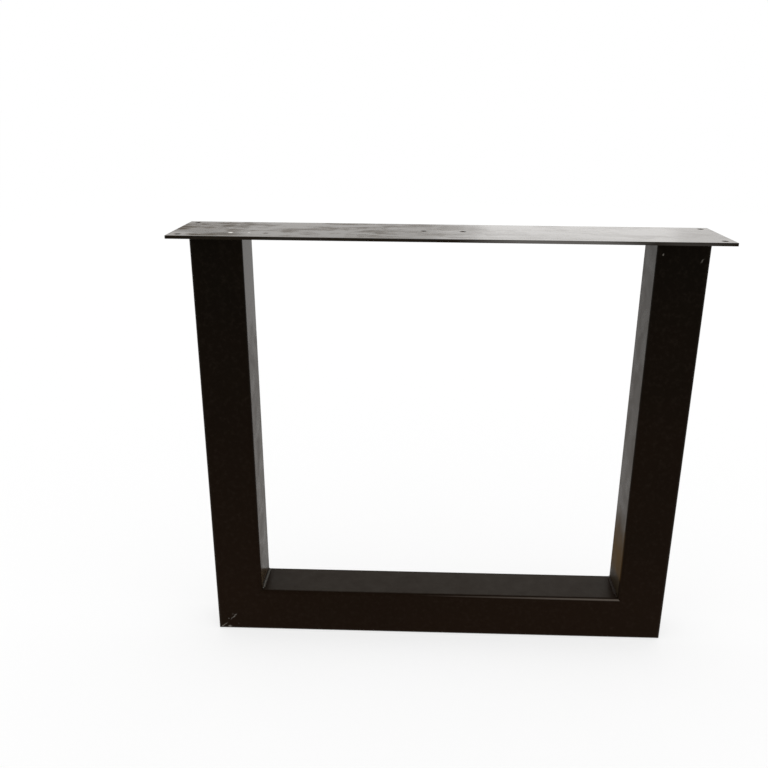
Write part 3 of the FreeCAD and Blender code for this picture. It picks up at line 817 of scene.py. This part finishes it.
# %% [markdown]
# Each point of the swept mesh now moves along the line from its own seam point: a swell of 1 leaves it
# where it is, and less pulls it in. The tree notes the crown highlight, where the finish paints a
# highlight, smooths the bead but not its toes and ends, and closes with plain geometry in its material.

# %% Bead tree: push the points and finish
SHARP_ANGLE = math.radians(45.0)

mesh_place = add_node(bead_tree, "GeometryNodeInputPosition")
from_spine = add_node(bead_tree, "ShaderNodeVectorMath", {
    0: mesh_place, 1: spine}, operation="SUBTRACT")
pushed = add_node(bead_tree, "ShaderNodeVectorMath", {
    0: from_spine, 1: swell, 2: spine}, operation="MULTIPLY_ADD")
rippled = add_node(bead_tree, "GeometryNodeSetPosition", {"Geometry": swept, "Position": pushed})
# The crown highlight marks the crests that the weld finish paints with a highlight.
top_of_crest = add_node(bead_tree, "ShaderNodeMath", {0: middle, 1: crest}, operation="MULTIPLY")
crown_highlight = add_node(bead_tree, "ShaderNodeMath", {
    0: top_of_crest, 1: given["Rub"]}, operation="MULTIPLY")
noted = add_node(bead_tree, "GeometryNodeStoreNamedAttribute", {
    "Geometry": rippled, "Name": "crown_highlight", "Value": crown_highlight}, data_type="FLOAT", domain="POINT")
smooth = add_node(bead_tree, "GeometryNodeSetShadeSmooth", {"Geometry": noted}, domain="FACE")
edge_angle = add_node(bead_tree, "GeometryNodeInputMeshEdgeAngle").outputs["Unsigned Angle"]
sharp = add_node(bead_tree, "ShaderNodeMath", {
    0: edge_angle, 1: SHARP_ANGLE}, operation="GREATER_THAN")
creased = add_node(bead_tree, "GeometryNodeSetShadeSmooth", {
    "Geometry": smooth, "Selection": sharp, "Shade Smooth": False}, domain="EDGE")
whole = add_node(bead_tree, "GeometryNodeRealizeInstances", {"Geometry": creased})
painted = add_node(bead_tree, "GeometryNodeSetMaterial", {
    "Geometry": whole, "Material": given["Material"]})
add_node(bead_tree, "NodeGroupOutput", {"Bead": painted})
print("bead tree has", len(bead_tree.nodes), "nodes")

# %% [markdown]
# Two beads close the inside corners and two run round the uprights' tops, under the plate. Each is
# grown on its own seam, turned into a plain mesh, and stands for the smooth CAD solid of that weld.

# %% Grow a bead
def grow_bead(name, points, closed, node, settings):
    """A rippled bead along the points of a seam, in place of a CAD weld node."""
    edges = [(i, i + 1) for i in range(len(points) - 1)]
    if closed:
        edges.append((len(points) - 1, 0))
    seam_mesh = bpy.data.meshes.new(name + "_seam")
    seam_mesh.from_pydata(points, edges, [])
    bead = bpy.data.objects.new(name, seam_mesh)
    modifier = bead.modifiers.new("weld_bead", "NODES")
    modifier.node_group = bead_tree
    for label, value in settings.items():
        modifier[bead_inputs[label]] = value
    scene.collection.objects.link(bead)
    depsgraph = bpy.context.evaluated_depsgraph_get()
    mesh = bpy.data.meshes.new_from_object(bead.evaluated_get(depsgraph), depsgraph=depsgraph)
    bead.modifiers.clear()
    bead.data = mesh
    bpy.data.meshes.remove(seam_mesh)
    mesh.name = name
    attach(bead, "root")
    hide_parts(node)
    low = Vector(bead.bound_box[0]) / MM
    high = Vector(bead.bound_box[6]) / MM  # corner 6 lies opposite corner 0
    print(name, len(mesh.polygons), "faces, size", [round(side, 1) for side in high - low], "mm")


ripple_sizes = {
    "Ripple Pitch": 3.2 * MM,
    "Ripple Height": 0.55 * MM,
    "Lump Height": 0.9 * MM,
    "Material": weld_finish,
}
print("ripples", ripple_sizes["Ripple Pitch"] / MM, "mm apart")

# %% [markdown]
# A corner bead runs straight across the inside of a lower corner and tapers where the torch was set
# down and lifted. The sweep lays its section on the right of the seam's direction, so the left bead
# runs from front to back and the right one from back to front. The left one gets the stronger painted
# highlight on its crests.

# %% Corner beads
UPWARD = -math.pi / 2  # turns the section to lie on the right of the seam's direction and above it
CORNER_TAPER = 0.5  # how much of its size a bead loses at its ends

for hand, crest_highlight, seed in (("left", 1.0, 1.0), ("right", 0.5, 2.0)):
    node = hand + "_corner_weld"
    low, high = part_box(node)
    if hand == "left":
        seam_ends = [(low.x, low.y, low.z), (low.x, high.y, low.z)]
    else:
        seam_ends = [(high.x, high.y, low.z), (high.x, low.y, low.z)]
    grow_bead(hand + "_corner_bead", seam_ends, False, node, {
        **ripple_sizes, "Leg": high.z - low.z, "Section Angle": UPWARD,
        "End Taper": CORNER_TAPER, "Rub": crest_highlight, "Seed": seed})

# %% [markdown]
# A plate bead runs all round an upright's top. Its seam is the tube's own outline: four quarter
# circles, walked anticlockwise, and the straight sides join them by themselves. The plate shelters
# these beads, and they get no painted highlight.

# %% Plate beads
TUBE_CORNER = TUBE_CORNER_MM * MM
CORNER_STEPS = 8
DOWNWARD = 0.0  # the section lies on the right of the seam's direction, outside it, and below it

for hand, seed in (("left", 3.0), ("right", 4.0)):
    node = hand + "_plate_weld"
    low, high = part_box(hand + "_upright")
    weld_low, weld_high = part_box(node)
    seam_points = []
    for quarter in range(4):
        corner_x = low.x + TUBE_CORNER if quarter in (1, 2) else high.x - TUBE_CORNER
        corner_y = low.y + TUBE_CORNER if quarter in (2, 3) else high.y - TUBE_CORNER
        for i in range(CORNER_STEPS + 1):
            angle = (quarter + i / CORNER_STEPS) * math.pi / 2
            x = corner_x + TUBE_CORNER * math.cos(angle)
            y = corner_y + TUBE_CORNER * math.sin(angle)
            seam_points.append((x, y, high.z))
    grow_bead(hand + "_plate_bead", seam_points, True, node, {
        **ripple_sizes, "Leg": weld_high.z - weld_low.z, "Section Angle": DOWNWARD,
        "End Taper": 0.0, "Rub": 0.0, "Seed": seed})

# %% [markdown]
# ## Dress the solids
# The tubes and the plate already have the right shape, so they only get their finish, by putting it
# in the material slot that each solid came with.

# %% Put the finishes on
for name, finish in (
    ("left_upright", tube_finish),
    ("right_upright", tube_finish),
    ("base_rail", tube_finish),
    ("top_plate", plate_finish),
):
    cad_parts[name].material_slots[0].material = finish
    print(name, "wears", finish.name)
